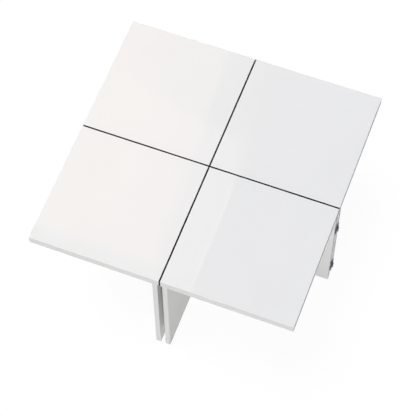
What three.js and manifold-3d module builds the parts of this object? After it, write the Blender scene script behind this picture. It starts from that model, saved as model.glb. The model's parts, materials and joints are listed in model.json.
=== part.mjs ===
// A square coffee table made of four quarter tables.
// Each quarter is a lacquered board on an L of two panel legs. Hinges on the ends of the legs
// join the quarters at three seams, so that the table unfolds. The front seam is free.
// Millimetres, +Z up. The origin is on the floor, under the point where the two seams cross.

import * as THREE from 'three';
import { mergeVertices } from 'three/addons/utils/BufferGeometryUtils.js';
import Module from 'manifold-3d';

const wasm = await Module();
wasm.setup();

// The table as a whole
const tableSide = 850;
const tableHeight = 450;
const seamWidth = 5.2; // from one white board to the next
const seatGap = 0.3; // left between pieces that rest on each other or are glued together

// Boards
const boardThickness = 30;
const boardEdgeRadius = 1; // along the outer edges of the top and bottom faces
const boardCornerRadius = 2; // at the outer corner in plan

// Legs: two panels to a quarter
const legThickness = 16;
const legPairGap = 16; // between the broad faces of two neighbouring quarters
const legEndSetback = 0.3; // from the board's edge back to the leg's end
const legEdgeRadius = 0.8;
const legCornerRadius = 1.6;

// Black edging on the two seam edges of a board, as high as the board
const edgingThickness = 1.7;
const edgingEndSetback = 0.5; // from the board's outer edge back to the edging's end

// Loose tongues in the glued joints
const tongueThickness = 4;
const tongueWidth = 16; // across the joint
const tongueEndMargin = 20; // from the end of the joint to the end of the tongue

// Glides nailed into the bottom edges of the legs
const glideRadius = 6.5;
const glideHeight = 2;
const glideChamfer = 0.6;
const glideEndMargin = 22; // from the end of the leg to the glide's centre
const nailRadius = 1.2;
const nailLength = 12;
const nailPoint = 2.4;

// Hinges
const hingeHeight = 26; // along the pin
const upperHingeDrop = 130; // from the table's top surface down to the hinge's middle
const lowerHingeRise = 69; // from the floor up to the hinge's middle
const leafThickness = 2;
const leafSeat = 8.5; // how much of the leg's end the leaf lies over
const leafCornerRadius = 2;
const pinRadius = 1.5;
const pinClearance = 0.3;
const knuckleWall = 1.6;
const pinHeadRadius = 2.4;
const pinHeadHeight = 0.9;

// Screws: two to a leaf, one solid with it
const screwSpacing = 14;
const screwRadius = 1.5;
const screwLength = 18;
const screwPoint = 3;
const screwHeadRadius = 3;
const screwHeadRise = 0.6;
const screwSlotLength = 3.4;
const screwSlotWidth = 0.7;
const screwSlotDepth = 0.5;

// How finely round shapes are divided
const roundSides = 16;
const smallRoundSides = 8;
const easedSteps = 1;
const weldDistance = 0.0001;

// The rows of knuckles, and who has them: the near leaf takes the even rows
const knuckleRows = 3;
const quarters = ['front_right', 'back_right', 'back_left', 'front_left'];
const seams = ['right', 'back', 'left'];
const quarterTurn = Math.PI / 2;

// Places that follow from the sizes, in the frame of the front right quarter:
// x runs out along the side leg, and -y runs out along the corner leg
const boardOuter = tableSide / 2;
const boardInner = seamWidth / 2;
const boardBottom = tableHeight - boardThickness;
const legInner = legPairGap / 2;
const legMiddle = legInner + legThickness / 2;
const legFar = legInner + legThickness;
const legOuter = boardOuter - legEndSetback;
const legTop = boardBottom - seatGap;
const legBottom = glideHeight + seatGap;
const edgingInner = boardInner - seatGap - edgingThickness;
const sawAllowance = 2 * boardCornerRadius;
const knuckleRadius = pinRadius + pinClearance + knuckleWall;
const leafBack = legOuter + seatGap;
const leafFront = leafBack + leafThickness;
const pinX = leafBack + knuckleRadius;
const leafReach = legInner + leafSeat;
const screwY = leafReach - leafSeat / 2;
const leafRoot = knuckleRadius + seatGap; // where the plate starts beside a knuckle of the other leaf
const rowHeight = hingeHeight / knuckleRows;
const hinges = { upper: tableHeight - upperHingeDrop, lower: lowerHingeRise };

// Finishes
const finishes = {
  lacquer: { color: 0xf0efee, roughness: 0.12, metalness: 0 },
  edging: { color: 0x0c0c0d, roughness: 0.45, metalness: 0 },
  tongue: { color: 0xc9a878, roughness: 0.8, metalness: 0 },
  glide: { color: 0xdedede, roughness: 0.5, metalness: 0 },
  steel: { color: 0x34363b, roughness: 0.35, metalness: 1 },
};

// From three.js geometry to a solid that can be cut, and back

function solidOf(geometry) {
  geometry.deleteAttribute('normal');
  geometry.deleteAttribute('uv');
  const merged = mergeVertices(geometry, weldDistance);
  return new wasm.Manifold(new wasm.Mesh({
    numProp: 3,
    vertProperties: merged.attributes.position.array,
    triVerts: new Uint32Array(merged.index.array),
  }));
}

function geometryOf(solid) {
  const mesh = solid.getMesh();
  const geometry = new THREE.BufferGeometry();
  geometry.setAttribute('position', new THREE.BufferAttribute(mesh.vertProperties, 3));
  geometry.setIndex(new THREE.BufferAttribute(mesh.triVerts, 1));
  geometry.computeVertexNormals();
  return geometry;
}

function cut(geometry, tools) {
  return geometryOf(tools.reduce((solid, tool) => solid.subtract(solidOf(tool)), solidOf(geometry)));
}

function joined(geometries) {
  return geometries.map(solidOf).reduce((whole, solid) => whole.add(solid));
}

// Basic shapes

function block(low, high) {
  const size = high.map((value, i) => value - low[i]);
  const middle = high.map((value, i) => (value + low[i]) / 2);
  return new THREE.BoxGeometry(...size).translate(...middle);
}

function groove([low, high]) {
  return block(low.map((value) => value - seatGap), high.map((value) => value + seatGap));
}

function roundedRectangle(width, depth, radius) {
  const x = width / 2 - radius;
  const y = depth / 2 - radius;
  const shape = new THREE.Shape();
  shape.absarc(x, y, radius, 0, quarterTurn);
  shape.absarc(-x, y, radius, quarterTurn, 2 * quarterTurn);
  shape.absarc(-x, -y, radius, 2 * quarterTurn, 3 * quarterTurn);
  shape.absarc(x, -y, radius, 3 * quarterTurn, 4 * quarterTurn);
  return shape;
}

// A panel that lies flat round the origin, with its edges eased
function flatPanel(width, depth, thickness, edgeRadius, cornerRadius) {
  const outline = roundedRectangle(
    width - 2 * edgeRadius, depth - 2 * edgeRadius, cornerRadius - edgeRadius,
  );
  const core = thickness - 2 * edgeRadius;
  return new THREE.ExtrudeGeometry(outline, {
    depth: core,
    curveSegments: easedSteps,
    bevelEnabled: true,
    bevelSize: edgeRadius,
    bevelThickness: edgeRadius,
    bevelSegments: easedSteps,
  }).translate(0, 0, -core / 2);
}

// A solid of revolution about z, from half of its outline, drawn upwards from the axis
function turned(outline, sides) {
  return new THREE.LatheGeometry(outline.map(([r, z]) => new THREE.Vector2(r, z)), sides)
    .rotateX(quarterTurn);
}

function rod(radius, bottom, top, sides) {
  return turned([[0, bottom], [radius, bottom], [radius, top], [0, top]], sides);
}

// Boards and their edging

// What is sawn off a blank, so that the board is square along the seams
function offcuts() {
  const low = boardInner - 2 * sawAllowance;
  const far = boardOuter + sawAllowance;
  const bottom = boardBottom - sawAllowance;
  const top = tableHeight + sawAllowance;
  return [
    block([low, -far, bottom], [boardInner, -low, top]),
    block([low, -boardInner, bottom], [far, -low, top]),
  ];
}

function board(tongues) {
  const width = boardOuter - boardInner + sawAllowance;
  const middle = (boardOuter + boardInner - sawAllowance) / 2;
  const blank = flatPanel(width, width, boardThickness, boardEdgeRadius, boardCornerRadius)
    .translate(middle, -middle, tableHeight - boardThickness / 2);
  return cut(blank, [...offcuts(), ...tongues.map(groove)]);
}

function edging() {
  const near = edgingInner;
  const back = edgingInner + edgingThickness;
  const far = boardOuter - edgingEndSetback;
  const outline = new THREE.Shape();
  outline.moveTo(near, -near);
  outline.lineTo(near, -far);
  outline.lineTo(back, -far);
  outline.lineTo(back, -back);
  outline.lineTo(far, -back);
  outline.lineTo(far, -near);
  return new THREE.ExtrudeGeometry(outline, {
    depth: boardThickness,
    bevelEnabled: false,
  }).translate(0, 0, boardBottom);
}

// Tongues: one under the board along each leg, and one upright where the two legs meet

function cornerLegTongue() {
  const z = boardBottom - seatGap / 2;
  return [
    [legMiddle - tongueThickness / 2, tongueEndMargin - legOuter, z - tongueWidth / 2],
    [legMiddle + tongueThickness / 2, -legInner - tongueEndMargin, z + tongueWidth / 2],
  ];
}

function sideLegTongue() {
  const z = boardBottom - seatGap / 2;
  return [
    [legFar + tongueEndMargin, -legMiddle - tongueThickness / 2, z - tongueWidth / 2],
    [legOuter - tongueEndMargin, -legMiddle + tongueThickness / 2, z + tongueWidth / 2],
  ];
}

function uprightTongue() {
  const x = legFar + seatGap / 2;
  return [
    [x - tongueWidth / 2, -legMiddle - tongueThickness / 2, legBottom + tongueEndMargin],
    [x + tongueWidth / 2, -legMiddle + tongueThickness / 2, legTop - tongueEndMargin],
  ];
}

// Legs

// The corner leg runs the whole way from the middle of the table to the front edge
function cornerLeg(cuts) {
  const length = legOuter - legInner;
  const panel = flatPanel(legTop - legBottom, length, legThickness, legEdgeRadius, legCornerRadius)
    .rotateY(quarterTurn)
    .translate(legMiddle, -(legOuter + legInner) / 2, (legTop + legBottom) / 2);
  return cut(panel, cuts);
}

// The side leg stands square to it, with its inner end against the corner leg's broad face
function sideLeg(cuts) {
  const start = legFar + seatGap;
  const panel = flatPanel(
    legOuter - start, legTop - legBottom, legThickness, legEdgeRadius, legCornerRadius,
  )
    .rotateX(quarterTurn)
    .translate((legOuter + start) / 2, -legMiddle, (legTop + legBottom) / 2);
  return cut(panel, cuts);
}

// Glides: a flat disc with a nail on it

function glidePlaces() {
  return {
    glide_middle: [legMiddle, -legInner - glideEndMargin],
    glide_corner_leg: [legMiddle, glideEndMargin - legOuter],
    glide_side_leg: [legOuter - glideEndMargin, -legMiddle],
  };
}

function glide([x, y]) {
  const nailTop = glideHeight + nailLength;
  return turned([
    [0, 0],
    [glideRadius - glideChamfer, 0],
    [glideRadius, glideChamfer],
    [glideRadius, glideHeight],
    [nailRadius, glideHeight],
    [nailRadius, nailTop - nailPoint],
    [0, nailTop],
  ], roundSides).translate(x, y, 0);
}

function nailHole([x, y]) {
  const top = glideHeight + nailLength + seatGap;
  return rod(nailRadius + seatGap, 0, top, smallRoundSides).translate(x, y, 0);
}

// Hinges stand on the +x ends of two legs, one on each side of the seam y = 0.
// side is -1 for the leaf on the near quarter and 1 for the leaf on the next quarter.

function screwHeights(hingeZ) {
  return [hingeZ - screwSpacing / 2, hingeZ + screwSpacing / 2];
}

function screw(side, z) {
  return turned([
    [0, -screwLength],
    [screwRadius, screwPoint - screwLength],
    [screwRadius, -leafThickness / 2],
    [screwHeadRadius, -leafThickness / 2],
    [screwHeadRadius, 0],
    [screwHeadRadius / 2, screwHeadRise],
    [0, screwHeadRise],
  ], smallRoundSides).rotateY(quarterTurn).translate(leafFront, side * screwY, z);
}

function screwSlots(side, z) {
  const bottom = leafFront + screwHeadRise - screwSlotDepth;
  const top = leafFront + 2 * screwHeadRise;
  const long = screwSlotLength / 2;
  const wide = screwSlotWidth / 2;
  const y = side * screwY;
  return [
    block([bottom, y - long, z - wide], [top, y + long, z + wide]),
    block([bottom, y - wide, z - long], [top, y + wide, z + long]),
  ];
}

function pilotHole(side, z) {
  return rod(screwRadius + seatGap, -screwLength - seatGap, leafThickness, smallRoundSides)
    .rotateY(quarterTurn).translate(leafFront, side * screwY, z);
}

function pilotHoles(side) {
  return Object.values(hinges).flatMap(screwHeights).map((z) => pilotHole(side, z));
}

function leafPlate(side, hingeZ) {
  const width = leafReach - leafRoot;
  return new THREE.ExtrudeGeometry(roundedRectangle(hingeHeight, width, leafCornerRadius), {
    depth: leafThickness,
    curveSegments: easedSteps,
    bevelEnabled: false,
  }).rotateY(quarterTurn).translate(leafBack, side * (leafRoot + width / 2), hingeZ);
}

function knuckle(side, row, hingeZ) {
  const bottom = hingeZ - hingeHeight / 2 + row * rowHeight + seatGap / 2;
  const top = bottom + rowHeight - seatGap;
  const overlap = side * (leafRoot + leafCornerRadius);
  return [
    rod(knuckleRadius, bottom, top, roundSides).translate(pinX, 0, 0),
    block([leafBack, Math.min(0, overlap), bottom], [leafFront, Math.max(0, overlap), top]),
  ];
}

function leaf(side, hingeZ) {
  const firstRow = side < 0 ? 0 : 1;
  const parts = [leafPlate(side, hingeZ)];
  for (let row = firstRow; row < knuckleRows; row += 2) {
    parts.push(...knuckle(side, row, hingeZ));
  }
  const bore = rod(
    pinRadius + pinClearance, hingeZ - hingeHeight, hingeZ + hingeHeight, roundSides,
  ).translate(pinX, 0, 0);
  const heights = screwHeights(hingeZ);
  return geometryOf(
    joined(parts)
      .subtract(solidOf(bore))
      .add(joined(heights.map((z) => screw(side, z))))
      .subtract(joined(heights.flatMap((z) => screwSlots(side, z)))),
  );
}

function pin(hingeZ) {
  const shoulder = hingeHeight / 2 + seatGap;
  const end = shoulder + pinHeadHeight;
  return turned([
    [0, -end],
    [pinHeadRadius, -end],
    [pinHeadRadius, -shoulder],
    [pinRadius, -shoulder],
    [pinRadius, shoulder],
    [pinHeadRadius, shoulder],
    [pinHeadRadius, end],
    [0, end],
  ], roundSides).translate(pinX, 0, hingeZ);
}

// Assembly

function piece(name, geometry, finish) {
  const mesh = new THREE.Mesh(geometry, new THREE.MeshStandardMaterial(finishes[finish]));
  mesh.name = name;
  return mesh;
}

// index counts the quarters anticlockwise from the front right one.
// Its side leg carries a hinge at the seam after it, and its corner leg at the seam before it.
function quarter(name, index) {
  const group = new THREE.Group();
  const tongues = { corner: cornerLegTongue(), side: sideLegTongue(), upright: uprightTongue() };
  const glides = glidePlaces();
  const sideScrews = index < seams.length ? pilotHoles(-1) : [];
  const cornerScrews = index > 0 ? pilotHoles(1).map((hole) => hole.rotateZ(-quarterTurn)) : [];
  group.add(
    piece(`${name}_top`, board([tongues.corner, tongues.side]), 'lacquer'),
    piece(`${name}_seam_edging`, edging(), 'edging'),
    piece(`${name}_corner_leg`, cornerLeg([
      groove(tongues.corner),
      groove(tongues.upright),
      nailHole(glides.glide_middle),
      nailHole(glides.glide_corner_leg),
      ...cornerScrews,
    ]), 'lacquer'),
    piece(`${name}_side_leg`, sideLeg([
      groove(tongues.side),
      groove(tongues.upright),
      nailHole(glides.glide_side_leg),
      ...sideScrews,
    ]), 'lacquer'),
    piece(`${name}_corner_leg_tongue`, block(...tongues.corner), 'tongue'),
    piece(`${name}_side_leg_tongue`, block(...tongues.side), 'tongue'),
    piece(`${name}_upright_tongue`, block(...tongues.upright), 'tongue'),
  );
  for (const [place, spot] of Object.entries(glides)) {
    group.add(piece(`${name}_${place}`, glide(spot), 'glide'));
  }
  group.rotation.z = index * quarterTurn;
  return group;
}

function seamHinges(seam, index) {
  const group = new THREE.Group();
  for (const [level, hingeZ] of Object.entries(hinges)) {
    const name = `${seam}_${level}_hinge`;
    group.add(
      piece(`${name}_leaf_${quarters[index]}`, leaf(-1, hingeZ), 'steel'),
      piece(`${name}_leaf_${quarters[index + 1]}`, leaf(1, hingeZ), 'steel'),
      piece(`${name}_pin`, pin(hingeZ), 'steel'),
    );
  }
  group.rotation.z = index * quarterTurn;
  return group;
}

const table = new THREE.Group();
quarters.forEach((name, index) => table.add(quarter(name, index)));
seams.forEach((seam, index) => table.add(seamHinges(seam, index)));

export default table;
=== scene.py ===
# %% [markdown]
# A square coffee table that unfolds
#
# The real table is four small tables. Each one is a square board on an L of two panel legs,
# finished in white gloss lacquer, and hinges on the ends of the legs hold the four together.
# The sizes, places and joints come from a frame that is loaded first. Each piece is then
# modelled finely in the space of its own part of that frame, so nothing is fitted by eye.

# %% Load the frame
import json
import math

import bmesh
import bpy
from mathutils import Matrix, Vector


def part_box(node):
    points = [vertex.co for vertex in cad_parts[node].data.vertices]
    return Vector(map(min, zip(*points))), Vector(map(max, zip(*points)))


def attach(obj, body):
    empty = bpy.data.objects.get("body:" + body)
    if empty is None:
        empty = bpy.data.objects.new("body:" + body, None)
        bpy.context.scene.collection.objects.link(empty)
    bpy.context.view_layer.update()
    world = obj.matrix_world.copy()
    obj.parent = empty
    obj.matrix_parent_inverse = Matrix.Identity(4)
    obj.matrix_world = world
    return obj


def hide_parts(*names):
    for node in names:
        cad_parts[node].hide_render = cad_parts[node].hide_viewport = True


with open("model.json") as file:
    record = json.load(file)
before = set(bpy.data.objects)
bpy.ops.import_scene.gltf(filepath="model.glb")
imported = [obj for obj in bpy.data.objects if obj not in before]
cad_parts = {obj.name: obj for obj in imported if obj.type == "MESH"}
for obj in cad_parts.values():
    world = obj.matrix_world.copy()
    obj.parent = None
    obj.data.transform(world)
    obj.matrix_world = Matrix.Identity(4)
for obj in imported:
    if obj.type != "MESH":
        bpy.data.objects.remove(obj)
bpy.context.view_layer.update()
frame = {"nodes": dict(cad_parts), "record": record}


def rounded(values, unit=1.0, digits=4):
    """The values in this unit, rounded for a printout."""
    return [round(value / unit, digits) for value in values]


# %% [markdown]
# The quarters are counted anticlockwise, as seen from above, from the front right one.
# They are alike, so each piece is modelled once, where the front right quarter has it, and
# then turned about the middle of the table. A turn is put into the mesh and never on the
# object, because every object of this model stands at the origin.

# %% Names, units and turns
mm = 0.001
x_axis, y_axis, z_axis = range(3)
quarters = ["front_right", "back_right", "back_left", "front_left"]
seams = ["right", "back", "left"]
levels = ["upper", "lower"]


def quarter_turn(index):
    """The turn about the table's middle from the first quarter to this one."""
    return Matrix.Rotation(math.radians(90 * index), 4, "Z")


def turned_copy(mesh, index):
    """A copy of a mesh, turned from the first quarter to this one."""
    copy = mesh.copy()
    copy.transform(quarter_turn(index))
    return copy


def add_object(name, data):
    """An object in the scene, at the origin."""
    thing = bpy.data.objects.new(name, data)
    bpy.context.scene.collection.objects.link(thing)
    return thing


print("quarters:", quarters)

# %% [markdown]
# The camera stands where the photographer stood. The perspective of the square top gives the
# place: about 5.3 m away, high above the front right corner, with a long lens. The three
# angles, in radians, turn it from level and straight ahead: to the left, down, and a touch of
# roll.

# %% Camera
camera_place = Vector((0.8732, -2.2971, 4.6897))
camera_turn = -0.3653
camera_tilt = 1.0719
camera_roll = 0.0056
lens_length = 136.69
sensor_width = 36.0


def camera_axes():
    """The camera's right, down and forward directions."""
    forward = Vector((
        math.sin(camera_turn) * math.cos(camera_tilt),
        math.cos(camera_turn) * math.cos(camera_tilt),
        -math.sin(camera_tilt),
    ))
    level = Vector((math.cos(camera_turn), -math.sin(camera_turn), 0))
    down = forward.cross(level)
    right = level * math.cos(camera_roll) + down * math.sin(camera_roll)
    return right, forward.cross(right), forward


def add_camera():
    """The camera, as its place and its three axes give it."""
    right, down, forward = camera_axes()
    camera = add_object("camera", bpy.data.cameras.new("camera"))
    camera.data.lens = lens_length
    camera.data.sensor_width = sensor_width
    turn = Matrix((right, -down, -forward)).transposed()
    camera.matrix_world = Matrix.Translation(camera_place) @ turn.to_4x4()
    bpy.context.scene.camera = camera


add_camera()
print("camera is", round(camera_place.length, 2), "m from the middle of the floor")

# %% [markdown]
# Materials are trees of nodes, and each tree is written with the same few helpers. The first
# adds a node with its values, and the second joins outputs to inputs.

# %% Helpers for node trees
def add_node(tree, kind, values=None, **settings):
    """A node, with its settings and the values of its unconnected sockets."""
    node = tree.nodes.new(kind)
    for name, value in settings.items():
        setattr(node, name, value)
    for name, value in (values or {}).items():
        node.inputs[name].default_value = value
    return node


def connect(tree, *links):
    """Links, each given as a node, its output, the next node and its input."""
    for start, output, end, socket in links:
        tree.links.new(start.outputs[output], end.inputs[socket])


def new_group(name, inputs, output):
    """An empty shader group that turns some numbers into one."""
    tree = bpy.data.node_groups.new(name, "ShaderNodeTree")
    for label, value in inputs.items():
        socket = tree.interface.new_socket(label, in_out="INPUT", socket_type="NodeSocketFloat")
        socket.default_value = value
    tree.interface.new_socket(output, in_out="OUTPUT", socket_type="NodeSocketFloat")
    return tree, add_node(tree, "NodeGroupInput"), add_node(tree, "NodeGroupOutput")


def place_group(tree, group, values=None):
    """The output of one use of a shader group, with values of its own."""
    return add_node(tree, "ShaderNodeGroup", values, node_tree=group).outputs[0]


def empty_tree(owner):
    """The node tree of a new material or world, with nothing in it."""
    owner.use_nodes = True
    owner.node_tree.nodes.clear()
    return owner.node_tree


def new_material(name, values=None):
    """A material with nothing but a shader, with its values, and an output."""
    material = bpy.data.materials.new(name)
    tree = empty_tree(material)
    shader = add_node(tree, "ShaderNodeBsdfPrincipled", values)
    output = add_node(tree, "ShaderNodeOutputMaterial")
    connect(tree, (shader, "BSDF", output, "Surface"))
    return material, tree, shader


print("helpers ready")

# %% [markdown]
# Sprayed lacquer is never a perfect mirror. It dries with a faint skin like orange peel, which
# shows only where something bright is reflected. The group makes that skin from two sizes of
# noise, and puts out a height for the material's Bump node. Its sizes are in waves per metre.

# %% Shader group: orange peel
def orange_peel_group():
    """The skin of sprayed lacquer, as a height from 0 to 1."""
    inputs = {"Waves": 260.0, "Ripples": 900.0, "Ripple share": 0.25}
    tree, start, end = new_group("orange peel", inputs, "Height")
    place = add_node(tree, "ShaderNodeTexCoord")
    mix = add_node(tree, "ShaderNodeMix", data_type="FLOAT")
    for scale, detail, side in (("Waves", 1.0, "A"), ("Ripples", 2.0, "B")):
        noise = add_node(tree, "ShaderNodeTexNoise", {"Detail": detail})
        connect(
            tree,
            (place, "Object", noise, "Vector"),
            (start, scale, noise, "Scale"),
            (noise, "Fac", mix, side),
        )
    connect(tree, (start, "Ripple share", mix, "Factor"), (mix, "Result", end, "Height"))
    return tree


orange_peel = orange_peel_group()
print(orange_peel.name, "has", len(orange_peel.nodes), "nodes")

# %% [markdown]
# Clean surfaces still differ from place to place: a wiped patch, a thin film of dust, a rubbed
# spot. The group makes a soft mask for that, and each finish that needs one uses it with a
# scale of its own. Low and High are where the mask starts and where it is full.

# %% Shader group: patches
def patches_group():
    """Soft patches, as a mask from 0 to 1."""
    inputs = {"Scale": 6.0, "Detail": 3.0, "Low": 0.35, "High": 0.7}
    tree, start, end = new_group("patches", inputs, "Mask")
    place = add_node(tree, "ShaderNodeTexCoord")
    noise = add_node(tree, "ShaderNodeTexNoise")
    limits = add_node(tree, "ShaderNodeMapRange", interpolation_type="SMOOTHSTEP")
    connect(
        tree,
        (place, "Object", noise, "Vector"),
        (start, "Scale", noise, "Scale"),
        (start, "Detail", noise, "Detail"),
        (noise, "Fac", limits, "Value"),
        (start, "Low", limits, "From Min"),
        (start, "High", limits, "From Max"),
        (limits, "Result", end, "Mask"),
    )
    return tree


patches = patches_group()
print(patches.name, "has", len(patches.nodes), "nodes")

# %% [markdown]
# Rolled steel, extruded plastic and sawn wood all carry fine lines along the way they were
# made. The group draws such lines by stretching a noise. Lines says about how many there are to
# the metre, and each Across input how many of them one crosses along that axis: 1 for all, and
# nearly 0 for the axis that the lines run along.

# %% Shader group: drawn lines
def drawn_lines_group():
    """Fine parallel lines, as a height from 0 to 1."""
    inputs = {"Lines": 1200.0, "Across x": 1.0, "Across y": 1.0, "Across z": 0.03}
    tree, start, end = new_group("drawn lines", inputs, "Height")
    place = add_node(tree, "ShaderNodeTexCoord")
    shares = add_node(tree, "ShaderNodeCombineXYZ")
    squeezed = add_node(tree, "ShaderNodeVectorMath", operation="MULTIPLY")
    noise = add_node(tree, "ShaderNodeTexNoise", {"Detail": 2.0, "Roughness": 0.6})
    connect(tree, *[(start, f"Across {axis.lower()}", shares, axis) for axis in "XYZ"])
    connect(
        tree,
        (place, "Object", squeezed, 0),
        (shares, 0, squeezed, 1),
        (squeezed, 0, noise, "Vector"),
        (start, "Lines", noise, "Scale"),
        (noise, "Fac", end, "Height"),
    )
    return tree


drawn_lines = drawn_lines_group()
print(drawn_lines.name, "has", len(drawn_lines.nodes), "nodes")

# %% [markdown]
# A material mixes two colours or two roughnesses by a mask, and lifts its surface by a height.
# These steps come back in each finish, so each has a short helper. A Mix node has sockets for
# several kinds of value under the same names, so those for colours are called by number.

# %% Helpers for finishes
mix_sockets = (0, 6, 7)
mix_result = 2


def feed(tree, source, socket):
    """Gives a socket a colour or a number of its own, or joins an output to it."""
    if isinstance(source, tuple):
        socket.default_value = (*source, 1)
    elif isinstance(source, float):
        socket.default_value = source
    else:
        tree.links.new(source, socket)


def mix_colours(tree, mask, low, high, blend="MIX"):
    """A colour that goes from low to high as the mask goes from 0 to 1."""
    mix = add_node(tree, "ShaderNodeMix", data_type="RGBA", blend_type=blend)
    for source, socket in zip((mask, low, high), mix_sockets):
        feed(tree, source, mix.inputs[socket])
    return mix.outputs[mix_result]


def spread(tree, mask, low, high):
    """A number that goes from low to high as the mask goes from 0 to 1."""
    limits = add_node(tree, "ShaderNodeMapRange", {"To Min": low, "To Max": high})
    tree.links.new(mask, limits.inputs["Value"])
    return limits.outputs["Result"]


def dress(tree, shader, colour, roughness, height, depth):
    """Gives a shader its colour, its roughness, and a relief that is this deep, in metres."""
    bump = add_node(tree, "ShaderNodeBump", {"Distance": depth, "Strength": 1.0})
    connect(tree, (bump, "Normal", shader, "Normal"))
    feed(tree, height, bump.inputs["Height"])
    feed(tree, colour, shader.inputs["Base Color"])
    feed(tree, roughness, shader.inputs["Roughness"])


print("finish helpers ready")

# %% [markdown]
# The lacquer is a clean white with a high gloss. It is a touch warm, as titanium white in a
# clear binder is. Broad patches move the colour by less than two parts in a hundred, and wiped
# patches move the gloss, which is what the eye reads as a real sheet of lacquer.

# %% Finish: white gloss lacquer
lacquer_white = (0.868, 0.858, 0.852)
lacquer_white_worn = (0.855, 0.845, 0.838)
lacquer_roughness = (0.015, 0.03)
peel_depth = 0.0015 * mm


def lacquer_material():
    """White gloss lacquer on a smooth board."""
    coat = {"IOR": 1.5, "Coat Weight": 0.35, "Coat Roughness": 0.01}
    material, tree, shader = new_material("white gloss lacquer", coat)
    tone = place_group(tree, patches, {"Scale": 5.0, "Detail": 4.0, "Low": 0.3, "High": 0.75})
    wiped = place_group(tree, patches, {"Scale": 22.0, "Detail": 5.0, "Low": 0.4, "High": 0.72})
    colour = mix_colours(tree, tone, lacquer_white, lacquer_white_worn)
    roughness = spread(tree, wiped, *lacquer_roughness)
    dress(tree, shader, colour, roughness, place_group(tree, orange_peel), peel_depth)
    return material


lacquer = lacquer_material()
print("material:", lacquer.name)

# %% [markdown]
# The seam edges of the boards carry a strip of black plastic. It is extruded, so it has faint
# lines along its length and a satin surface, with a little dust in it. It is made to mirror very
# little, and its black is almost zero, because the seams of the real table look almost black:
# the strip's black is partly its own colour and partly painted shade, for the deep seam gaps.

# %% Finish: black edging
# Painted shade: the black is almost zero, so the strip stands in for the deep shade in the seam
# gaps as well as for its own colour.
edging_black_and_painted_shade = (0.002, 0.002, 0.0023)
edging_dusty = (0.006, 0.0058, 0.0055)
edging_mirroring = 0.04
edging_roughness = (0.42, 0.6)
edging_line_depth = 0.02 * mm


def edging_material():
    """Black satin plastic strip."""
    surface = {"Specular IOR Level": edging_mirroring}
    material, tree, shader = new_material("black satin edging", surface)
    dust = place_group(tree, patches, {"Scale": 40.0, "Detail": 5.0, "Low": 0.45, "High": 0.8})
    along = {"Lines": 900.0, "Across x": 0.01, "Across y": 0.01, "Across z": 1.0}
    lines = place_group(tree, drawn_lines, along)
    colour = mix_colours(tree, dust, edging_black_and_painted_shade, edging_dusty)
    roughness = spread(tree, dust, *edging_roughness)
    dress(tree, shader, colour, roughness, lines, edging_line_depth)
    return material


black_edging = edging_material()
print("material:", black_edging.name)

# %% [markdown]
# The hinges are plain steel, burnished dark and oiled. The sheet they were rolled from leaves
# fine lines, and the burnish is blotchy. The middle and the lowest knuckles are painted a
# brighter steel, as a painted highlight, and the upper one keeps its burnish. An attribute of
# the mesh says where: it is 1 on a highlighted point and 0 on all others.

# %% Finish: burnished steel
burnished_colours = ((0.10, 0.104, 0.118), (0.2, 0.205, 0.225))
# Painted highlight: the brighter steel colours of the middle and lowest knuckles.
painted_highlight_colours = ((0.5, 0.505, 0.52), (0.62, 0.625, 0.64))
steel_roughness = (0.28, 0.42)
steel_line_depth = 0.01 * mm


def steel_material():
    """Dark burnished steel, with a painted highlight on two knuckles."""
    material, tree, shader = new_material("dark burnished steel", {"Metallic": 1.0})
    spots = {"Scale": 320.0, "Detail": 4.0, "Low": 0.35, "High": 0.75}
    blotches = place_group(tree, patches, spots)
    along = {"Lines": 5000.0, "Across x": 0.08, "Across y": 0.08, "Across z": 1.0}
    lines = place_group(tree, drawn_lines, along)
    # The painted highlight on the marked knuckles.
    painted_highlight = add_node(tree, "ShaderNodeAttribute", attribute_name="painted_highlight").outputs["Fac"]
    dark = mix_colours(tree, blotches, *burnished_colours)
    bright = mix_colours(tree, blotches, *painted_highlight_colours)
    colour = mix_colours(tree, painted_highlight, dark, bright)
    roughness = spread(tree, blotches, *steel_roughness)
    dress(tree, shader, colour, roughness, lines, steel_line_depth)
    return material


hinge_steel = steel_material()
print("material:", hinge_steel.name)

# %% [markdown]
# The glides are moulded nylon: white, a little waxy, and scuffed grey in small patches.

# %% Finish: white nylon
nylon_white = (0.78, 0.78, 0.76)
nylon_scuffed = (0.55, 0.54, 0.52)
nylon_roughness = (0.4, 0.65)
nylon_grain_depth = 0.01 * mm


def nylon_material():
    """Moulded white nylon, scuffed."""
    wax = {"Subsurface Weight": 0.1, "Subsurface Scale": 1 * mm}
    material, tree, shader = new_material("white nylon", wax)
    scuffs = place_group(tree, patches, {"Scale": 450.0, "Detail": 5.0, "Low": 0.5, "High": 0.75})
    grain = place_group(tree, orange_peel, {"Waves": 2500.0, "Ripples": 6000.0})
    colour = mix_colours(tree, scuffs, nylon_white, nylon_scuffed)
    roughness = spread(tree, scuffs, *nylon_roughness)
    dress(tree, shader, colour, roughness, grain, nylon_grain_depth)
    return material


glide_nylon = nylon_material()
print("material:", glide_nylon.name)

# %% [markdown]
# The tongues are strips of birch plywood, glued into grooves, and nobody sees them once the
# table is together. They keep the shape that the frame gives them, and get their wood: pale
# layers that take turns, with the grain drawn along the strip. A strip lies with its layers
# across x or across y, so the wood is made once for each. At a scale of 1 a Wave texture comes
# back ten times in pi metres, and at the scale used here once in each layer.

# %% Finish: birch plywood
layer_thickness = 1.3 * mm
wave_scale = math.pi / (10 * layer_thickness)
birch_pale = (0.66, 0.50, 0.32)
birch_dark = (0.50, 0.34, 0.19)
birch_roughness = 0.75
fibre_greys = ((0.7, 0.7, 0.7), (1.0, 1.0, 1.0))
fibre_share = 0.3
fibre_depth = 0.05 * mm


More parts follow.
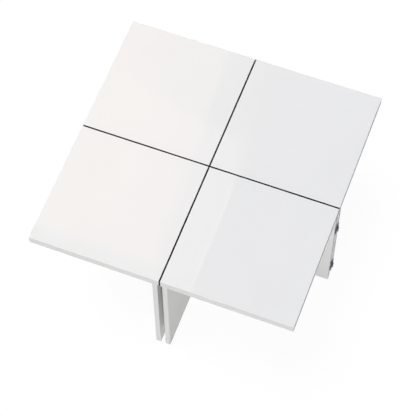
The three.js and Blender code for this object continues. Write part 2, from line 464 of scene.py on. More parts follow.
def plywood_material(axis):
    """Birch plywood with its layers across one axis, given as X or Y."""
    material, tree, shader = new_material(f"birch plywood, layers across {axis.lower()}")
    place = add_node(tree, "ShaderNodeTexCoord")
    bands = {"Scale": wave_scale, "Distortion": 0.4}
    wave = add_node(tree, "ShaderNodeTexWave", bands, bands_direction=axis)
    connect(tree, (place, "Object", wave, "Vector"))
    along = {"Lines": 2500.0, "Across x": 1.0, "Across y": 1.0, "Across z": 0.05}
    fibres = place_group(tree, drawn_lines, along)
    layers = mix_colours(tree, wave.outputs["Fac"], birch_pale, birch_dark)
    greys = mix_colours(tree, fibres, *fibre_greys)
    colour = mix_colours(tree, fibre_share, layers, greys, "MULTIPLY")
    dress(tree, shader, colour, birch_roughness, fibres, fibre_depth)
    return material


plywood = {axis: plywood_material(axis) for axis in "XY"}
print("materials:", [material.name for material in plywood.values()])

# %% [markdown]
# A piece is finished when its mesh is plain: no modifier left on it, its place in its vertices,
# and its object at the origin. Then it rides on the body that carries it, takes its material,
# and stands for the nodes that it replaces.

# %% Helpers for pieces
def plain_mesh(mesh, *wanted):
    """The mesh after modifiers, each given as its kind and its settings."""
    helper = add_object("helper", mesh)
    for kind, settings in wanted:
        modifier = helper.modifiers.new(kind.lower(), kind)
        for name, value in settings.items():
            setattr(modifier, name, value)
    graph = bpy.context.evaluated_depsgraph_get()
    plain = bpy.data.meshes.new_from_object(helper.evaluated_get(graph))
    bpy.data.objects.remove(helper)
    return plain


def mesh_from(shape, smooth=True):
    """A mesh from the bmesh that it was built in, shaded smooth or flat."""
    bmesh.ops.recalc_face_normals(shape, faces=shape.faces)
    mesh = bpy.data.meshes.new("shape")
    shape.to_mesh(mesh)
    shape.free()
    if smooth:
        mesh.shade_smooth()
    else:
        mesh.shade_flat()
    return mesh


def add_piece(name, mesh, material, body, slot, *nodes):
    """A finished piece on its body, in place of its nodes."""
    mesh.name = name
    mesh.materials.clear()
    mesh.materials.append(material)
    piece = add_object(name, mesh)
    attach(piece, body)
    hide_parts(*nodes)


def add_to_quarters(master, part, material, slot, node):
    """A turned copy of the master on each quarter, in place of the quarter's own node."""
    for index, quarter in enumerate(quarters):
        mesh = turned_copy(master, index)
        add_piece(f"{quarter}_{part}", mesh, material, quarter, slot, f"{quarter}_{node}")


print("piece helpers ready")

# %% [markdown]
# Boards and legs are panels. A panel starts as a box, its four corners in plan are rounded, and
# then every sharp edge is eased by a Bevel modifier. Where a side has to be square, the blank
# is longer there and is sawn off after that, as in a workshop. The big faces have to stay
# optically flat, because gloss lacquer shows the slightest bend, so a Weighted Normal modifier
# gives each vertex the normal of the largest face that it touches.

# %% Panels
corner_steps = 8
panel_edge_steps = 4
sharp_from = math.radians(50)


def eased(radius, steps):
    """A Bevel modifier for plain_mesh, which rounds every sharp edge."""
    limits = {"limit_method": "ANGLE", "angle_limit": sharp_from}
    return "BEVEL", {"width": radius, "segments": steps, **limits}


def round_corners(shape, edges, radius):
    """Rounds some edges of a bmesh that are the corners of a plate."""
    bmesh.ops.bevel(
        shape, geom=edges, offset=radius, segments=corner_steps, profile=0.5, affect="EDGES",
    )


def sawn(mesh, cuts):
    """The mesh sawn off at planes, each given as a point and the way towards the waste."""
    shape = bmesh.new()
    shape.from_mesh(mesh)
    for point, away in cuts:
        everything = shape.verts[:] + shape.edges[:] + shape.faces[:]
        bmesh.ops.bisect_plane(
            shape, geom=everything, plane_co=point, plane_no=away, clear_outer=True,
        )
        rim = [edge for edge in shape.edges if edge.is_boundary]
        bmesh.ops.contextual_create(shape, geom=rim)
    mesh = mesh_from(shape)
    mesh.set_sharp_from_angle(angle=sharp_from)
    return mesh


def panel_mesh(low, high, across, corner_radius, edge_radius, cuts=()):
    """A panel between two corners, with its thickness along the axis across."""
    size = high - low
    shape = bmesh.new()
    box = Matrix.LocRotScale((high + low) / 2, None, size)
    bmesh.ops.create_cube(shape, size=1, matrix=box)
    corners = [
        edge for edge in shape.edges
        if abs((edge.verts[0].co - edge.verts[1].co)[across]) > size[across] / 2
    ]
    round_corners(shape, corners, corner_radius)
    blank = plain_mesh(mesh_from(shape), eased(edge_radius, panel_edge_steps))
    if cuts:
        blank = sawn(blank, cuts)
    return plain_mesh(blank, ("WEIGHTED_NORMAL", {"weight": 100, "keep_sharp": True}))


print("panel helper ready")

# %% [markdown]
# The boards are 30 mm thick. Their outer edges are rounded by 1 mm and their outer corner by
# 2 mm. Such small radii carry the bright line along an edge that tells a lacquered board from
# a folded card. Along the two seams a board is square, to take its black edging.

# %% Boards
board_corner_radius = 2 * mm
board_edge_radius = 1 * mm


def add_boards():
    """The four boards of the top."""
    low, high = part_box("front_right_top")
    allowance = 2 * board_corner_radius
    master = panel_mesh(
        low - Vector((allowance, 0, 0)), high + Vector((0, allowance, 0)), z_axis,
        board_corner_radius, board_edge_radius, [(low, (-1, 0, 0)), (high, (0, 1, 0))],
    )
    add_to_quarters(master, "board", lacquer, "white_lacquer", "top")
    print("board", rounded(high - low, mm, 1), "mm,", len(master.polygons), "faces")


add_boards()

# %% [markdown]
# Under each board stand two panels of 16 mm. The corner leg runs from the middle of the table
# to the front edge. The side leg is glued square against it and runs along the other seam. On
# the real table both are glued to the board as well, so the visible panels close the thin glue
# gaps that the frame leaves between its solids.

# %% Legs
leg_corner_radius = 1.6 * mm
leg_edge_radius = 0.8 * mm
glue_gap = 0.28 * mm


def add_legs():
    """Two panel legs under each board."""
    to_board = Vector((0, 0, glue_gap))
    spots = {
        "corner_leg": (x_axis, Vector((0, 0, 0))),
        "side_leg": (y_axis, Vector((-glue_gap, 0, 0))),
    }
    for part, (across, to_neighbour) in spots.items():
        low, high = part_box(f"front_right_{part}")
        master = panel_mesh(
            low + to_neighbour, high + to_board, across, leg_corner_radius, leg_edge_radius,
        )
        add_to_quarters(master, f"{part}_panel", lacquer, "white_lacquer", part)
        print(part, rounded(high - low, mm, 1), "mm")


add_legs()

# %% [markdown]
# The black edging is one L-shaped strip on the two seam edges of a board, as high as the board
# is thick. It is drawn as an outline, pulled up, and eased by a fifth of a millimetre along
# its edges. Its glue line is closed too.

# %% Edging
edging_thickness = 1.7 * mm
edging_edge_radius = 0.2 * mm
fine_edge_steps = 2


def pulled_up(outline, bottom, top):
    """A solid with this outline in plan, from one height to another."""
    shape = bmesh.new()
    base = shape.faces.new([shape.verts.new((x, y, bottom)) for x, y in outline])
    lifted = bmesh.ops.extrude_face_region(shape, geom=[base])
    moved = [item for item in lifted["geom"] if isinstance(item, bmesh.types.BMVert)]
    bmesh.ops.translate(shape, verts=moved, vec=(0, 0, top - bottom))
    return mesh_from(shape)


def add_edging():
    """An L-shaped strip on the seam edges of each board."""
    low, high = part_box("front_right_seam_edging")
    near, far = low.x, high.x
    back = near + edging_thickness + glue_gap
    outline = [(near, -near), (near, -far), (back, -far), (back, -back), (far, -back), (far, -near)]
    master = plain_mesh(
        pulled_up(outline, low.z, high.z),
        eased(edging_edge_radius, fine_edge_steps), ("WEIGHTED_NORMAL", {"weight": 100}),
    )
    add_to_quarters(master, "edging_strip", black_edging, "black_edging", "seam_edging")
    print("edging", round((high.z - low.z) / mm, 1), "mm high")


add_edging()

# %% [markdown]
# A hinge leaf is a plate whose edge is cut into knuckles, each rolled round the pin. The roll
# stops just short of the plate, which leaves the fine slit that every rolled hinge has.
#
# The leaf is built from its section, seen along the pin: the plate's end, the outside of the
# roll, and the inside of the roll back to the plate. That line is pulled up once for each
# knuckle, and the plate closes the rest, so the whole leaf is one closed skin.

# %% Sizes of the hinges
hinge_height = 26 * mm
leaf_thickness = 2 * mm
leaf_corner_radius = 2 * mm
leaf_edge_radius = 0.2 * mm
knuckle_rows = 3
row_gap = 0.3 * mm
knuckle_radius = 3.4 * mm
bore_radius = 1.8 * mm
roll_end = math.radians(112)
roll_steps = 28


def hinge_place(level):
    """The pin's x and the hinge's middle height, at the right seam."""
    low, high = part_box(f"right_{level}_hinge_pin")
    return (low.x + high.x) / 2, (low.z + high.z) / 2


def leaf_quarter(index, side):
    """The quarter that carries a seam's near leaf, of side -1, or its far one, of side 1."""
    return quarters[index if side < 0 else index + 1]


def arc(radius, start, sweep, steps):
    """Points on an arc about the origin, from its first angle through its sweep."""
    turns = [start + sweep * step / steps for step in range(steps + 1)]
    return [(radius * math.cos(turn), radius * math.sin(turn)) for turn in turns]


def roll_section(pin_x, side):
    """A rolled knuckle in plan: round its outside, and back along its bore."""
    roll = math.pi + roll_end
    mouth = math.acos((knuckle_radius - leaf_thickness) / bore_radius)
    outside = arc(knuckle_radius, math.pi, roll, roll_steps)
    inside = arc(bore_radius, math.pi + roll, -roll - mouth, roll_steps)
    return [(pin_x + x, side * y) for x, y in outside + inside]


print("knuckles are", round(2 * knuckle_radius / mm, 1), "mm thick")

# %% [markdown]
# The leaf's skin. Heights are where a knuckle starts or ends. Between two of them the plate's
# inner edge is either closed or leads into a roll. The near leaf has the lowest and the upper
# knuckle, and the far leaf the middle one.

# %% Hinge leaves
def leaf_shape(side, level):
    """One leaf at the right seam: side -1 is the near leaf and side 1 the far one."""
    pin_x, middle = hinge_place(level)
    low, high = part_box(f"right_{level}_hinge_leaf_{leaf_quarter(0, side)}")
    reach = max(abs(low.y), abs(high.y))
    back = pin_x - knuckle_radius
    front = back + leaf_thickness
    bottom = middle - hinge_height / 2
    row_height = hinge_height / knuckle_rows
    spans = []
    for row in range(0 if side < 0 else 1, knuckle_rows, 2):
        start = bottom + row * row_height + row_gap / 2
        spans.append((start, start + row_height - row_gap))
    heights = sorted({bottom, bottom + hinge_height}.union(*spans))
    shape = bmesh.new()

    def column(x, y, places):
        """Points above each other."""
        return [shape.verts.new((x, side * y, z)) for z in places]

    back_root, front_root = (column(x, knuckle_radius + row_gap, heights) for x in (back, front))
    back_end, front_end = (column(x, reach, (heights[0], heights[-1])) for x in (back, front))
    skin = [
        [*back_root, back_end[1], back_end[0]],
        [*front_root, front_end[1], front_end[0]],
        [back_end[0], back_end[1], front_end[1], front_end[0]],
        [back_root[0], front_root[0], front_end[0], back_end[0]],
        [back_root[-1], front_root[-1], front_end[1], back_end[1]],
    ]
    for index, pair in enumerate(zip(heights, heights[1:])):
        rings = [[back_root[index + up], front_root[index + up]] for up in (0, 1)]
        if pair in spans:
            for ring, z in zip(rings, pair):
                ring[1:1] = [shape.verts.new((x, y, z)) for x, y in roll_section(pin_x, side)]
            skin += rings
        lower, upper = rings
        for here in range(len(lower) - 1):
            skin.append([lower[here], lower[here + 1], upper[here + 1], upper[here]])
    for corners in skin:
        shape.faces.new(corners)
    return shape


def round_leaf_corners(shape):
    """Rounds the two corners of the plate that are away from the pin."""
    reach = max(abs(vertex.co.y) for vertex in shape.verts)
    corners = [
        edge for edge in shape.edges
        if all(abs(abs(vertex.co.y) - reach) < row_gap for vertex in edge.verts)
        and abs(edge.verts[0].co.x - edge.verts[1].co.x) > leaf_thickness / 2
    ]
    round_corners(shape, corners, leaf_corner_radius)


def mark_painted_highlight(mesh, level):
    """Marks the points of a leaf that are on its middle and lowest knuckles, which get a painted
    highlight.
    """
    pin_x, middle = hinge_place(level)
    radius = knuckle_radius + row_gap / 2
    top = middle + hinge_height / knuckle_rows / 2
    # These points get the steel's painted highlight.
    painted_highlight = mesh.attributes.new("painted_highlight", "FLOAT", "POINT")
    for vertex, mark in zip(mesh.vertices, painted_highlight.data):
        away = math.hypot(vertex.co.x - pin_x, vertex.co.y)
        mark.value = float(away < radius and vertex.co.z < top)


def leaf_mesh(side, level):
    """A finished leaf at the right seam."""
    shape = leaf_shape(side, level)
    round_leaf_corners(shape)
    mesh = plain_mesh(
        mesh_from(shape), eased(leaf_edge_radius, fine_edge_steps),
        ("WEIGHTED_NORMAL", {"weight": 90}),
    )
    mark_painted_highlight(mesh, level)
    return mesh


def add_leaves():
    """Two leaves for each of the six hinges."""
    for level in levels:
        for side in (-1, 1):
            master = leaf_mesh(side, level)
            for index, seam in enumerate(seams):
                body = leaf_quarter(index, side)
                hinge = f"{seam}_{level}_hinge"
                add_piece(
                    f"{hinge}_rolled_leaf_{body}", turned_copy(master, index), hinge_steel, body,
                    "hinge_steel", f"{hinge}_leaf_{body}",
                )
    return len(master.polygons)


print("a leaf has", add_leaves(), "faces")

# %% [markdown]
# Pins, screws and glides are round, so each starts as half an outline that is spun about its
# axis. Spinning can turn the skin inside out, so the doubles on the axis are merged first and
# the normals worked out again after that.

# %% Turned shapes
weld_distance = 0.001 * mm
smooth_below = math.radians(32)


def turned_mesh(outline, sides):
    """A solid of revolution about z, from its outline as radius and height, axis to axis."""
    shape = bmesh.new()
    points = [shape.verts.new((radius, 0, height)) for radius, height in outline]
    lines = [shape.edges.new(pair) for pair in zip(points, points[1:])]
    bmesh.ops.spin(
        shape, geom=points + lines, cent=(0, 0, 0), axis=(0, 0, 1), angle=math.tau,
        steps=sides, use_merge=True,
    )
    bmesh.ops.remove_doubles(shape, verts=shape.verts, dist=weld_distance)
    mesh = mesh_from(shape)
    mesh.set_sharp_from_angle(angle=smooth_below)
    return mesh


def dome(radius, foot, rise, steps):
    """The outline of a low dome, from its rim to its top on the axis."""
    side = arc(1, 0, math.pi / 2, steps)[:-1]
    return [*((radius * x, foot + rise * y) for x, y in side), (0, foot + rise)]


print("turned shapes ready")

# %% [markdown]
# A hinge pin is a steel rod that is peened over at both ends, so its heads are low domes. Each
# pin rides with the leaf that has the middle knuckle, as the bodies in the record say.

# %% Pins
pin_radius = 1.5 * mm
pin_head_radius = 2.4 * mm
pin_head_height = 0.9 * mm
pin_dome_steps = 6
pin_sides = 32
bodies = frame["record"]["behaviour"]["bodies"]
body_of = {node: body for body, nodes in bodies.items() for node in nodes}


def pin_outline():
    """The pin's outline, about its own middle."""
    shoulder = hinge_height / 2 + row_gap
    rim = pin_head_height / 3
    head = dome(pin_head_radius, shoulder + rim, pin_head_height - rim, pin_dome_steps)
    half = [(pin_radius, shoulder), (pin_head_radius, shoulder), *head]
    return [(radius, -height) for radius, height in reversed(half)] + half


def add_pins():
    """One pin for each hinge."""
    for level in levels:
        pin_x, middle = hinge_place(level)
        for index, seam in enumerate(seams):
            mesh = turned_mesh(pin_outline(), pin_sides)
            mesh.transform(quarter_turn(index) @ Matrix.Translation((pin_x, 0, middle)))
            name = f"{seam}_{level}_hinge_turned_pin"
            node = f"{seam}_{level}_hinge_pin"
            add_piece(name, mesh, hinge_steel, body_of[node], "hinge_steel", node)


add_pins()
print("pins are", round(2 * pin_radius / mm, 1), "mm thick")

# %% [markdown]
# Screws and glides repeat, so Geometry Nodes place them. The tree takes a cloud of points that
# each know which way they face, puts a copy of the fastener on each, and turns it about its own
# axis by a random angle with a fixed seed, as a hand with a screwdriver would leave it. The
# copies are made real at the end, because an export drops instances. A Random Value node, like
# a Mix node, has its sockets for plain numbers under numbers of their own.

# %% Geometry Nodes: fasteners on points
def fastener_tree():
    """A tree that puts a fastener on each point, along the point's facing attribute."""
    tree = bpy.data.node_groups.new("fasteners on points", "GeometryNodeTree")
    sockets = {
        "Geometry": "NodeSocketGeometry", "Fastener": "NodeSocketObject",
        "Largest turn": "NodeSocketFloat", "Seed": "NodeSocketInt",
        "Finish": "NodeSocketMaterial",
    }
    for label, kind in sockets.items():
        tree.interface.new_socket(label, in_out="INPUT", socket_type=kind)
    tree.interface.new_socket("Geometry", in_out="OUTPUT", socket_type="NodeSocketGeometry")
    start = add_node(tree, "NodeGroupInput")
    end = add_node(tree, "NodeGroupOutput")
    facing = add_node(
        tree, "GeometryNodeInputNamedAttribute", {"Name": "facing"}, data_type="FLOAT_VECTOR",
    )
    align = add_node(tree, "FunctionNodeAlignRotationToVector", axis="Z")
    angle = add_node(tree, "FunctionNodeRandomValue", data_type="FLOAT")
    twist = add_node(tree, "FunctionNodeAxisAngleToRotation", {"Axis": (0, 0, 1)})
    rotate = add_node(tree, "FunctionNodeRotateRotation", rotation_space="LOCAL")
    fastener = add_node(tree, "GeometryNodeObjectInfo")
    copies = add_node(tree, "GeometryNodeInstanceOnPoints")
    real = add_node(tree, "GeometryNodeRealizeInstances")
    finish = add_node(tree, "GeometryNodeSetMaterial")
    largest, result = 3, 1
    connect(
        tree,
        (facing, "Attribute", align, "Vector"),
        (start, "Largest turn", angle, largest),
        (start, "Seed", angle, "Seed"),
        (angle, result, twist, "Angle"),
        (align, "Rotation", rotate, "Rotation"),
        (twist, "Rotation", rotate, "Rotate By"),
        (start, "Fastener", fastener, "Object"),
        (start, "Geometry", copies, "Points"),
        (fastener, "Geometry", copies, "Instance"),
        (rotate, "Rotation", copies, "Rotation"),
        (copies, "Instances", real, "Geometry"),
        (real, "Geometry", finish, "Geometry"),
        (start, "Finish", finish, "Material"),
        (finish, "Geometry", end, "Geometry"),
    )
    return tree


fasteners = fastener_tree()
print(fasteners.name, "has", len(fasteners.nodes), "nodes")

# %% [markdown]
# The points and their facings go into a small mesh with an attribute. The inputs of the
# modifier are set by the identifiers of their sockets, before anything is worked out.

# %% Placing fasteners
def point_cloud(points):
    """A mesh of points, each given as its place and the way it faces."""
    cloud = bpy.data.meshes.new("places")
    cloud.from_pydata([tuple(place) for place, facing in points], [], [])
    facings = cloud.attributes.new("facing", "FLOAT_VECTOR", "POINT")
    facings.data.foreach_set("vector", [value for place, facing in points for value in facing])
    return cloud


def fastened(points, master, seed, finish):
    """One plain mesh with a copy of the master on every point."""
    template = add_object("template", master)
    carrier = add_object("carrier", point_cloud(points))
    modifier = carrier.modifiers.new("fasteners", "NODES")
    modifier.node_group = fasteners
    values = {"Fastener": template, "Largest turn": math.tau, "Seed": seed, "Finish": finish}
    for item in fasteners.interface.items_tree:
        if item.in_out == "INPUT" and item.name in values:
            modifier[item.identifier] = values[item.name]
    graph = bpy.context.evaluated_depsgraph_get()
    plain = bpy.data.meshes.new_from_object(carrier.evaluated_get(graph))
    carrier.modifiers.remove(modifier)
    bpy.data.objects.remove(carrier)
    bpy.data.objects.remove(template)
    return plain


print("fasteners can be placed")

# %% [markdown]
# The screws have a raised countersunk head with a cross recess, 6 mm wide. The leaf hides the
# cone of the head, so what shows is its low dome, and the recess is cut by two tapered blades.
# The screws sit in the part of the leaf that lies over the end of the leg.

# %% Screws
screw_radius = 1.5 * mm
screw_length = 18 * mm
screw_point = 3 * mm
screw_head_radius = 3 * mm
screw_head_rise = 0.6 * mm
screw_dome_steps = 9
screw_spacing = 14 * mm
leaf_seat = 8.5 * mm
slot_length = 3.4 * mm
slot_width = 0.7 * mm
slot_depth = 0.5 * mm
slot_taper = 0.7
screw_sides = 36


def screw_outline():
    """The screw's outline, with its head's rim at height 0."""
    return [
        (0, -screw_length),
        (screw_radius / 3, -screw_length + screw_point / 3),
        (screw_radius, -screw_length + screw_point),
        (screw_radius, -leaf_thickness),
        *dome(screw_head_radius, 0, screw_head_rise, screw_dome_steps),
    ]


def blade(length, width):
    """A tapered blade that cuts half of the cross recess."""
    shape = bmesh.new()
    for vertex in bmesh.ops.create_cube(shape, size=1)["verts"]:
        upper = vertex.co.z > 0
        taper = 1 if upper else slot_taper
        vertex.co.x *= length * taper
        vertex.co.y *= width * taper
        vertex.co.z = screw_head_rise * 2 if upper else screw_head_rise - slot_depth
    return add_object("blade", mesh_from(shape, smooth=False))


def screw_mesh():
    """The whole screw."""
    blades = [blade(slot_length, slot_width), blade(slot_width, slot_length)]
    cuts = [("BOOLEAN", {"object": helper, "operation": "DIFFERENCE"}) for helper in blades]
    mesh = plain_mesh(turned_mesh(screw_outline(), screw_sides), *cuts)
    mesh.set_sharp_from_angle(angle=smooth_below)
    for helper in blades:
        bpy.data.objects.remove(helper)
    return mesh


def leaf_screws(index, side, level):
    """The two screws of one leaf, each as its place and the way it faces."""
    pin_x, middle = hinge_place(level)
    low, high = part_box(f"right_{level}_hinge_leaf_{quarters[0]}")
    face = pin_x - knuckle_radius + leaf_thickness
    across = side * (abs(low.y) - leaf_seat / 2)
    heights = (middle - screw_spacing / 2, middle + screw_spacing / 2)
    turn = quarter_turn(index)
    return [(turn @ Vector((face, across, z)), turn @ Vector((1, 0, 0))) for z in heights]


def screw_points(body):
    """All screws of one quarter."""
    points = []
    for index in range(len(seams)):
        for side in (-1, 1):
            if leaf_quarter(index, side) == body:
                for level in levels:
                    points += leaf_screws(index, side, level)
    return points


def add_screws():
    """The screws of each quarter's hinge leaves, as one piece for each quarter."""
    master = screw_mesh()
    for seed, quarter in enumerate(quarters):
        points = screw_points(quarter)
        mesh = fastened(points, master, seed, hinge_steel)
        add_piece(f"{quarter}_hinge_screws", mesh, hinge_steel, quarter, "hinge_steel")
        print(quarter, "has", len(points), "screws")


add_screws()

# %% [markdown]
# The glides are discs of nylon on a nail. The edge that slides is rounded, and a shallow ring
# is moulded into the face, which is what one sees when the table lies on its side.

# %% Glides
glide_radius = 6.5 * mm
glide_height = 2 * mm
glide_rounding = 0.6 * mm
glide_ring_radius = 3.4 * mm
glide_ring_depth = 0.25 * mm
nail_radius = 1.2 * mm
nail_length = 12 * mm
nail_point = 2.4 * mm
glide_sides = 40
rounding_steps = 5


def glide_outline():
    """The outline of a glide and its nail, standing on the floor."""
    flat = glide_radius - glide_rounding
    edge = arc(glide_rounding, -math.pi / 2, math.pi / 2, rounding_steps)
    nail_top = glide_height + nail_length
    return [
        (0, glide_ring_depth),
        (glide_ring_radius - glide_ring_depth, glide_ring_depth),
        (glide_ring_radius, 0),
        *((flat + x, glide_rounding + y) for x, y in edge),
        (glide_radius, glide_height),
        (nail_radius, glide_height),
        (nail_radius, nail_top - nail_point),
        (0, nail_top),
    ]


def add_glides():
    """Three glides under each quarter, as one piece."""
    master = turned_mesh(glide_outline(), glide_sides)
    for seed, quarter in enumerate(quarters):
        nodes = [f"{quarter}_glide_{place}" for place in ("middle", "corner_leg", "side_leg")]
        boxes = [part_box(node) for node in nodes]
        points = [
            (Vector(((low.x + high.x) / 2, (low.y + high.y) / 2, low.z)), Vector((0, 0, 1)))
            for low, high in boxes
        ]
        mesh = fastened(points, master, seed, glide_nylon)
        add_piece(f"{quarter}_glides", mesh, glide_nylon, quarter, "glide_plastic", *nodes)
    return len(master.polygons)


print("a glide has", add_glides(), "faces")

# %% [markdown]
# The tongues keep their own meshes from the frame, so only their material is set. A tongue is
# thin along x or along y, which its box tells.

# %% Tongues
def finish_tongues():
    """Birch plywood on every tongue, with its layers across its thin side."""
    tongues = [name for name in frame["nodes"] if name.endswith("_tongue")]
    for name in tongues:
        low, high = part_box(name)
        axis = "X" if high.x - low.x < high.y - low.y else "Y"
        mesh = frame["nodes"][name].data
        mesh.materials.clear()
        mesh.materials.append(plywood[axis])
    return len(tongues)


print(finish_tongues(), "tongues")

# %% [markdown]
# The table stands in a plain white studio, and its floor has three looks. To the lamps it is a
# pale grey that throws light back at the table. To the camera it is white, with the table's
# faint soft shadow on it. And in the glossy sides of the table it is an even grey, which is
# all that they mirror, because they are seen at a slant from above. That grey is darker and
# bluer to the right of the table, a painted shade that the table's right-hand sides mirror.
# From below the floor is clear, so that the underside of the table can be looked at.

# %% Floor
floor_size = 60.0
floor_drop = 0.05 * mm
floor_colour = (0.55, 0.55, 0.545, 1)
floor_seen_colour = (0.07, 0.07, 0.07, 1)
floor_lift = 0.945
floor_mirrored = (0.55, 0.55, 0.555)
# Painted shade: the darker, bluish grey that reflections see on the floor to the right of the
# table, and where it starts and where it is full.
painted_shade_mirrored = (0.35, 0.35, 0.41)
painted_shade_start = 415 * mm
painted_shade_end = 440 * mm


def add_ray_choice(tree, *kinds):
    """A mask that is 1 for rays of these kinds and 0 for all others."""
    rays = add_node(tree, "ShaderNodeLightPath")
    mask = rays.outputs[f"Is {kinds[0]} Ray"]
    for kind in kinds[1:]:
        either = add_node(tree, "ShaderNodeMath", operation="MAXIMUM")
        tree.links.new(mask, either.inputs[0])
        connect(tree, (rays, f"Is {kind} Ray", either, 1))
        mask = either.outputs[0]
    return mask


def add_share_across(tree, start, end):
    """A mask that goes from 0 to 1 between two places on the x axis."""
    place = add_node(tree, "ShaderNodeTexCoord")
    parts = add_node(tree, "ShaderNodeSeparateXYZ")
    share = add_node(
        tree, "ShaderNodeMapRange", {"From Min": start, "From Max": end},
        interpolation_type="SMOOTHSTEP",
    )
    connect(tree, (place, "Object", parts, "Vector"), (parts, "X", share, "Value"))
    return share.outputs["Result"]


def add_choice(tree, mask, other, chosen):
    """A shader that is the chosen one where the mask is 1."""
    mix = add_node(tree, "ShaderNodeMixShader")
    tree.links.new(mask, mix.inputs[0])
    connect(tree, (other, 0, mix, 1), (chosen, 0, mix, 2))
    return mix


def floor_material():
    """A pale floor that the camera sees as white with a faint shadow."""
    material = bpy.data.materials.new("studio floor")
    tree = empty_tree(material)
    bounce = add_node(tree, "ShaderNodeBsdfDiffuse", {"Color": floor_colour})
    mirrored = add_node(tree, "ShaderNodeEmission")
    # The painted shade in the reflections, to the right of the table.
    painted_shade = add_share_across(tree, painted_shade_start, painted_shade_end)
    greys = mix_colours(tree, painted_shade, floor_mirrored, painted_shade_mirrored)
    tree.links.new(greys, mirrored.inputs["Color"])
    seen = add_node(tree, "ShaderNodeBsdfDiffuse", {"Color": floor_seen_colour})
    lift = add_node(tree, "ShaderNodeEmission", {"Strength": floor_lift})
    white = add_node(tree, "ShaderNodeAddShader")
    connect(tree, (seen, 0, white, 0), (lift, 0, white, 1))
    grey = add_choice(tree, add_ray_choice(tree, "Glossy"), bounce, mirrored)
    whole = add_choice(tree, add_ray_choice(tree, "Camera", "Transmission"), grey, white)
    clear = add_node(tree, "ShaderNodeBsdfTransparent")
    side = add_node(tree, "ShaderNodeNewGeometry")
    sided = add_choice(tree, side.outputs["Backfacing"], whole, clear)
    connect(tree, (sided, 0, add_node(tree, "ShaderNodeOutputMaterial"), "Surface"))
    return material


def add_sheet(name, corners, material):
    """A flat sheet of the studio, from its corners."""
    mesh = bpy.data.meshes.new(name)
    mesh.from_pydata([tuple(corner) for corner in corners], [], [tuple(range(len(corners)))])
    mesh.materials.append(material)
    sheet = add_object(name, mesh)
    return sheet


floor_reach = floor_size / 2
floor_corners = [
    (x * floor_reach, y * floor_reach, -floor_drop) for x, y in ((-1, -1), (1, -1), (1, 1), (-1, 1))
]
add_sheet("floor", floor_corners, floor_material())
print("floor", floor_size, "m wide")

# %% [markdown]
# Three large soft panels light the table. One hangs overhead and lights the top. One stands
# low, to the front right, so the front faces come next in brightness and the right-hand faces
# after them. The last is weak and stands behind, to keep the far sides from going dull. The
# room itself gives no light. It is only white to the camera and in reflections, as the paper
# of a photo studio is.
#
# Angles are in degrees. A lamp's turn is counted anticlockwise, as seen from above, from
# straight in front of the table. Its height is how far it stands above level, and its width is
# how large it looks from the table.

# %% Studio light
room_white = 1.0
lamp_distance = 6.0
lamps = {
    "overhead panel": {"turn": -90.0, "height": 75.0, "width": 40.0, "level": 0.737},
    "front panel": {"turn": 27.0, "height": 15.0, "width": 20.0, "level": 0.61},
    "back panel": {"turn": 220.0, "height": 15.0, "width": 40.0, "level": 0.2},
}


def set_room():
    """The world: it gives no light, and is white to the camera and in reflections."""
    world = bpy.data.worlds.new("studio room")
    bpy.context.scene.world = world
    tree = empty_tree(world)
    dark, white = (
        add_node(tree, "ShaderNodeBackground", {"Color": (1, 1, 1, 1), "Strength": strength})
        for strength in (0.0, room_white)
    )
    room = add_choice(tree, add_ray_choice(tree, "Camera", "Glossy", "Transmission"), dark, white)
    connect(tree, (room, 0, add_node(tree, "ShaderNodeOutputWorld"), "Surface"))


def add_lamp(name, turn, height, width, level):
    """A soft lamp far away. A level of 1 lights a white that faces it to white."""
    lamp = bpy.data.lights.new(name, "SUN")
    lamp.energy = math.pi * level
    lamp.angle = math.radians(width)
    holder = add_object(name, lamp)
    away = Vector((
        math.sin(math.radians(turn)) * math.cos(math.radians(height)),
        -math.cos(math.radians(turn)) * math.cos(math.radians(height)),
        math.sin(math.radians(height)),
    ))
    holder.location = away * lamp_distance
    holder.rotation_mode = "QUATERNION"
    holder.rotation_quaternion = away.to_track_quat("Z", "Y")
    holder.visible_glossy = False


set_room()
for name, values in lamps.items():
    add_lamp(name, **values)
    print(name, "at level", values["level"])

# %% [markdown]
# A gloss top is mostly a picture of what hangs over it. In the photograph that picture is warm
# and bright on the left, cooler on the right, and has a few straight edges: those of the
# photographer's panels. So white cards hang over the table, seen by reflections alone. Each is
# drawn by where its corners should appear on the top, in millimetres. The camera is mirrored
# in the top, and the line from there through such a spot meets the card's height where the
# corner belongs.

# %% Cards for the top to mirror
top_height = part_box("front_right_top")[1].z
card_height = 2.95
card_step = 0.02
past = 700


def card_point(spot, height):
    """Where a card at this height is seen, when it appears at this spot on the top."""
    mirrored_eye = Vector((camera_place.x, camera_place.y, 2 * top_height - camera_place.z))
    on_top = Vector((spot[0] * mm, spot[1] * mm, top_height))
    share = (height - mirrored_eye.z) / (top_height - mirrored_eye.z)
    return mirrored_eye.lerp(on_top, share)


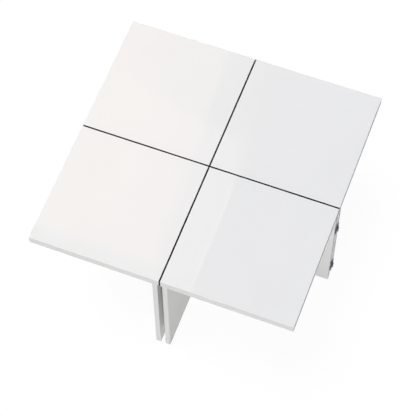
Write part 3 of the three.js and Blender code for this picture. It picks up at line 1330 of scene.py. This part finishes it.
def card_material(name, left, right, start, end):
    """Light that goes from the left colour to the right one along x."""
    material = bpy.data.materials.new(name)
    tree = empty_tree(material)
    light = add_node(tree, "ShaderNodeEmission")
    share = add_share_across(tree, start, end)
    tree.links.new(mix_colours(tree, share, left, right), light.inputs["Color"])
    connect(tree, (light, 0, add_node(tree, "ShaderNodeOutputMaterial"), "Surface"))
    return material


def add_card(name, order, spots, left, right, start=-250, end=250):
    """A card that only reflections see. A higher order hangs lower, in front of the others."""
    height = card_height - order * card_step
    first, last = (card_point((x, 0), height).x for x in (start, end))
    card = add_sheet(
        name, [card_point(spot, height) for spot in spots],
        card_material(name, left, right, first, last),
    )
    for ray in ("camera", "diffuse", "shadow", "transmission", "volume_scatter"):
        setattr(card, f"visible_{ray}", False)


add_card(
    "room card", 0, [(-past, -past), (past, -past), (past, past), (-past, past)],
    (1.25, 1.42, 1.72), (1.1, 1.3, 1.6), 150, 450,
)
add_card(
    "back card", 1, [(-past, 80), (94, 111), (60, past), (-past, past)],
    (1.72, 1.75, 1.9), (1.35, 1.48, 1.72), -80, 90,
)
add_card(
    "back left card", 2, [(-past, 80), (-64, 0), (-110, past), (-past, past)],
    (2.8, 2.5, 2.3), (2.4, 2.3, 2.25), -420, -150,
)
add_card(
    "middle card", 3, [(-120, -382), (98, -390), (90, 111), (53, 124), (-18, 137), (-120, 158)],
    (2.25, 2.2, 2.3), (2.0, 2.05, 2.15), -50, 95,
)
add_card(
    "left card", 4,
    [(-past, -378), (-40, -382), (-74, 150), (-186, 177), (-398, 234), (-past, 315)],
    (2.98, 2.72, 2.45), (2.8, 2.58, 2.42), -330, -60,
)
add_card(
    "front card", 2, [(-past, -past), (106, -past), (99, -380), (-past, -380)],
    (2.1, 2.2, 2.3), (1.95, 2.0, 2.1), -120, 0,
)
add_card(
    "bright edge right", 5, [(96, -past), (101, -past), (97, -60), (92, -60)],
    (2.7, 2.9, 3.1), (2.7, 2.9, 3.1),
)
add_card(
    "bright edge left", 5, [(-66, 0), (-60, 0), (-72, 150), (-78, 150)],
    (2.9, 3.1, 3.2), (2.9, 3.1, 3.2),
)
print("cards hang at", card_height, "m")

# %% [markdown]
# Colours come out as they are written only with the plain view transform, which the last cell sets.

# %% Finish
bpy.context.scene.view_settings.view_transform = "Standard"
